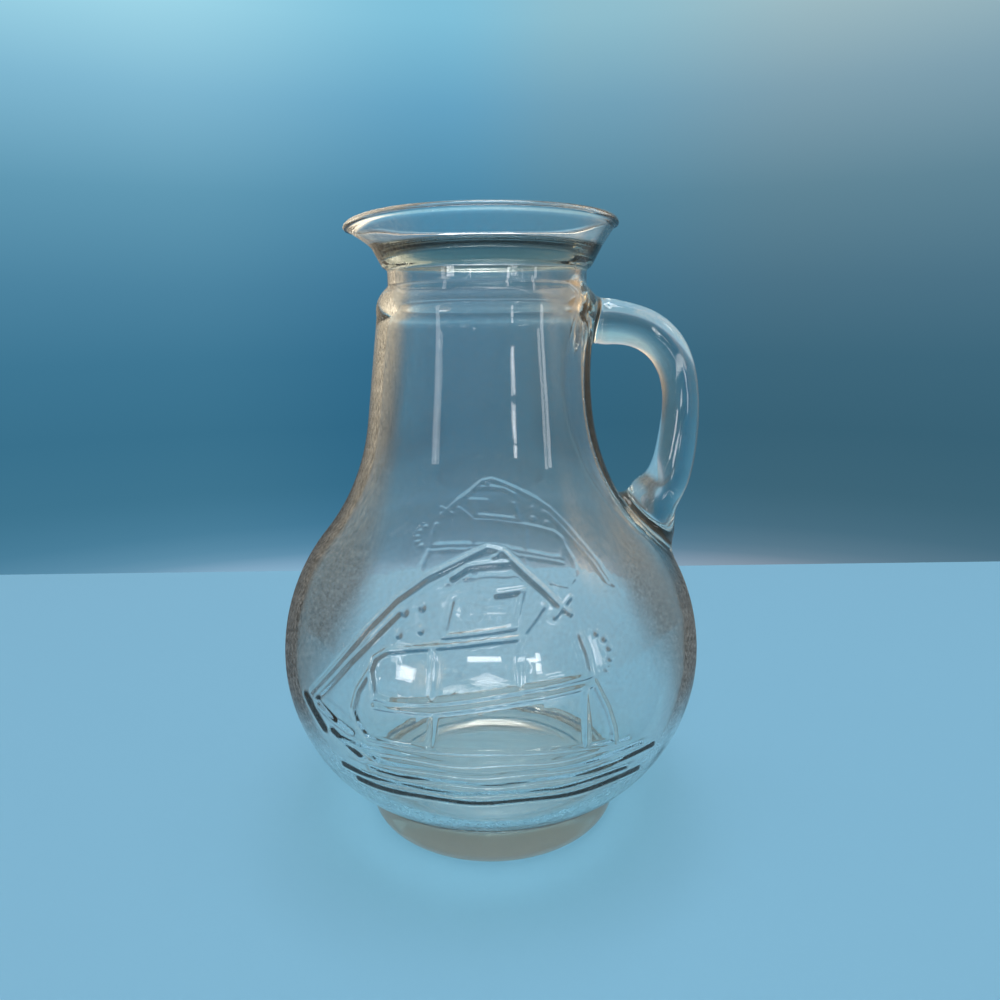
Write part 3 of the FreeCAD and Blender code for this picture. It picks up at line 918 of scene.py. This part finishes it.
# windows in front: turn from straight ahead, elevation, width and height, all in degrees, and
# the strength of their light where 1 is white
WINDOWS = [
    ("window_left", -43, 1, 9, 7, 9.0),
    ("window_far_left", -49, 10, 4, 11, 3.5),
    ("window_slit_high", 23.5, 13, 2.2, 4, 8.0),
    ("window_slit", 23, 7.5, 2.6, 5, 8.0),
    ("window_right", 31, 0, 8, 5, 7.0),
    ("window_far_right", 54, 9, 3, 15, 5.0),
]
WINDOW_DISTANCE = 1.2
WINDOW_TARGET = (0, 0, 0.12)
# lamps: place, target and size in metres, and power in watts
LAMPS = [
    ("ceiling", (0.1, 0.1, 2.4), (0, 0, 0.1), (1.2, 1.2), 29.0),
    ("front_strip", (-0.013, -0.224, 0.132), (-0.002, -0.074, 0.089), (0.055, 0.009), 0.013),
    ("front_spot", (0.066, -0.213, 0.126), (0.012, -0.073, 0.089), (0.018, 0.008), 0.004),
]

# the camera: place in metres, tilt down, turn and roll in degrees, and lens in millimetres
CAMERA_PLACE = (0, -0.27608, 0.18324)
CAMERA_TURNS = (12.842, 0.789, -0.521)
CAMERA_LENS = 27.036
SENSOR_WIDTH = 36.0


def by_elevation(tree, share, table_of_stops):
    """Display colours by elevation, over a share that runs from 0 at -90 to 1 at 90 degrees."""
    stops = [((angle + 90) / 180, srgb(*colour)) for angle, colour in table_of_stops]
    return colour_ramp(tree, share, stops)


def mixed_colour(tree, share, first, second, blend="MIX"):
    """Two colours mixed or blended; the share is a link or a plain number."""
    made = tree.nodes.new("ShaderNodeMix")
    made.data_type = "RGBA"
    made.blend_type = blend
    if isinstance(share, float):
        made.inputs["Factor"].default_value = share
    else:
        tree.links.new(share, made.inputs["Factor"])
    tree.links.new(first, made.inputs["A"])
    tree.links.new(second, made.inputs["B"])
    return made.outputs["Result"]


def world():
    """Backdrop and room as colours by direction, seen directly, in the glass and through it."""
    made = bpy.data.worlds.new("studio")
    bpy.context.scene.world = made
    made.use_nodes = True
    tree = made.node_tree
    tree.nodes.clear()
    place = tree.nodes.new("ShaderNodeTexCoord")
    split = tree.nodes.new("ShaderNodeSeparateXYZ")
    tree.links.new(place.outputs["Generated"], split.inputs["Vector"])
    elevation = math_node(tree, "ARCSINE", split.outputs["Z"])
    share = math_node(tree, "ADD", math_node(tree, "DIVIDE", elevation, math.pi), 0.5)
    sideways = math_node(tree, "ADD", split.outputs["X"], ACROSS_SHIFT)
    stops = [(part + ACROSS_SHIFT, tint) for part, tint in BACKDROP_ACROSS]
    backdrop = mixed_colour(tree, 1.0, by_elevation(tree, share, BACKDROP),
                            colour_ramp(tree, sideways, stops, "EASE"), "MULTIPLY")
    path = tree.nodes.new("ShaderNodeLightPath").outputs
    turn = soft_step(tree, split.outputs["Y"], *BACKDROP_TURN)
    facing = math_node(tree, "MAXIMUM", turn, path["Is Camera Ray"])
    seen = tree.nodes.new("ShaderNodeBackground")
    tree.links.new(mixed_colour(tree, facing, by_elevation(tree, share, ROOM), backdrop),
                   seen.inputs["Color"])
    light = tree.nodes.new("ShaderNodeBackground")
    light.inputs["Color"].default_value = (1, 1, 1, 1)
    light.inputs["Strength"].default_value = WORLD_LIGHT
    either = math_node(tree, "MAXIMUM", path["Is Camera Ray"], path["Is Glossy Ray"])
    either = math_node(tree, "MAXIMUM", either, path["Is Transmission Ray"])
    output = tree.nodes.new("ShaderNodeOutputWorld")
    tree.links.new(mixed(tree, either, light.outputs["Background"], seen.outputs["Background"]),
                   output.inputs["Surface"])


def flat_piece(name, corners):
    """One flat face through four corners, as an object."""
    mesh = bpy.data.meshes.new(name)
    mesh.from_pydata(corners, [], [(0, 1, 2, 3)])
    piece = bpy.data.objects.new(name, mesh)
    bpy.context.scene.collection.objects.link(piece)
    return piece


def table():
    """A wide plain table top whose far edge is a little way behind the pitcher."""
    piece = flat_piece("table", [(-TABLE_HALF_WIDTH, TABLE_FRONT, 0),
                                 (TABLE_HALF_WIDTH, TABLE_FRONT, 0),
                                 (TABLE_HALF_WIDTH, TABLE_EDGE, 0),
                                 (-TABLE_HALF_WIDTH, TABLE_EDGE, 0)])
    material = bpy.data.materials.new("table_blue")
    material.use_nodes = True
    surface = material.node_tree.nodes["Principled BSDF"]
    surface.inputs["Base Color"].default_value = (*srgb(*TABLE_COLOUR), 1)
    surface.inputs["Roughness"].default_value = TABLE_ROUGHNESS
    surface.inputs["Specular IOR Level"].default_value = TABLE_SPECULAR
    piece.data.materials.append(material)


def side_card(name, x, low, high, front, back, tint):
    """A glowing card beside the table, seen only in the glass, and only at a slant: painted light
    that stands in for a dimpled silver wall lit by the lamps.

    It is painted brighter high up in front, where the lamps light the wall, and its edges fade out.
    """
    card = flat_piece(name, [(x, front, low), (x, back, low), (x, back, high), (x, front, high)])
    material, tree, place, split = new_material(name)
    share = math_node(tree, "DIVIDE", split["Z"], CARD_HEIGHT)
    share = math_node(tree, "SUBTRACT", share, math_node(tree, "MULTIPLY", split["Y"], CARD_LEAN))
    share = math_node(tree, "DIVIDE", math_node(tree, "ADD", share, -TONE_START), TONE_SPAN)
    stops = []
    for position, colour, strength in CARD_GLOW_TONES:
        share_of_light = strength / TONE_STRONGEST
        tone = [value * part * share_of_light for value, part in zip(srgb(*colour), tint)]
        stops.append(((position - TONE_START) / TONE_SPAN, tone))
    # painted glints of the dimples, as bright specks in the card's glow
    dimple_glints = math_node(tree, "MULTIPLY", noise(tree, place, DIMPLE_SCALE, 1.0), 2.0)
    sparkle = math_node(tree, "POWER", dimple_glints, DIMPLE_POWER)
    shine = tree.nodes.new("ShaderNodeEmission")
    tree.links.new(colour_ramp(tree, share, stops), shine.inputs["Color"])
    tree.links.new(math_node(tree, "MULTIPLY", sparkle, TONE_STRONGEST), shine.inputs["Strength"])

    slant = tree.nodes.new("ShaderNodeLayerWeight").outputs["Facing"]
    low_fade, high_fade, back_fade, front_fade = CARD_FADES
    cover = 1.0
    for value, none, whole in [(split["Z"], low, low + low_fade),
                               (split["Z"], high, high - high_fade),
                               (split["Y"], back, back - back_fade),
                               (split["Y"], front, front + front_fade),
                               (slant, 0.0, CARD_SLANT)]:
        cover = math_node(tree, "MULTIPLY", soft_step(tree, value, none, whole), cover)
    clear = tree.nodes.new("ShaderNodeBsdfTransparent")
    output = tree.nodes.new("ShaderNodeOutputMaterial")
    tree.links.new(mixed(tree, cover, clear.outputs["BSDF"], shine.outputs["Emission"]),
                   output.inputs["Surface"])
    card.data.materials.append(material)
    card.visible_camera = False
    card.visible_diffuse = False
    card.visible_shadow = False


def lamp(name, place, target, size, power):
    """A white area light of a size in metres at a place, turned to a target."""
    data = bpy.data.lights.new(name, "AREA")
    data.shape = "RECTANGLE"
    data.size, data.size_y = size
    data.energy = power
    made = bpy.data.objects.new(name, data)
    made.location = place
    made.rotation_euler = (Vector(target) - Vector(place)).to_track_quat("-Z", "Y").to_euler()
    bpy.context.scene.collection.objects.link(made)
    made.visible_camera = False


def window(name, azimuth, elevation, width, height, strength):
    """A bright upright opening in front of the pitcher, as seen from its middle."""
    turn, rise = math.radians(azimuth), math.radians(elevation)
    way = Vector((math.sin(turn) * math.cos(rise), -math.cos(turn) * math.cos(rise),
                  math.sin(rise)))
    size = [2 * WINDOW_DISTANCE * math.tan(math.radians(angle) / 2) for angle in (width, height)]
    power = strength * math.pi * size[0] * size[1]
    lamp(name, Vector(WINDOW_TARGET) + way * WINDOW_DISTANCE, WINDOW_TARGET, size, power)


def camera():
    """The view: a little below the rim's height, tilted down and turned a hair to the side."""
    pitch, yaw, roll = (math.radians(angle) for angle in CAMERA_TURNS)
    forward = Vector((math.sin(yaw) * math.cos(pitch), math.cos(yaw) * math.cos(pitch),
                      -math.sin(pitch)))
    right = Vector((math.cos(yaw), -math.sin(yaw), 0))
    up = right.cross(forward)
    turned_right = right * math.cos(roll) + up * math.sin(roll)
    turned_up = up * math.cos(roll) - right * math.sin(roll)
    data = bpy.data.cameras.new("camera")
    data.lens = CAMERA_LENS
    data.sensor_width = SENSOR_WIDTH
    data.clip_start, data.clip_end = 0.01, 20
    made = bpy.data.objects.new("camera", data)
    turned = Matrix((turned_right, turned_up, -forward)).transposed().to_4x4()
    made.matrix_world = Matrix.Translation(Vector(CAMERA_PLACE)) @ turned
    bpy.context.scene.collection.objects.link(made)
    bpy.context.scene.camera = made


glass = make_glass()
glass.data.materials.clear()
glass.data.materials.append(glass_material())
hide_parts("pitcher")
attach(glass, "root")

table()
world()
for card in CARDS:
    side_card(*card)
for opening in WINDOWS:
    window(*opening)
for light in LAMPS:
    lamp(*light)
camera()
bpy.context.scene.view_settings.view_transform = "Standard"
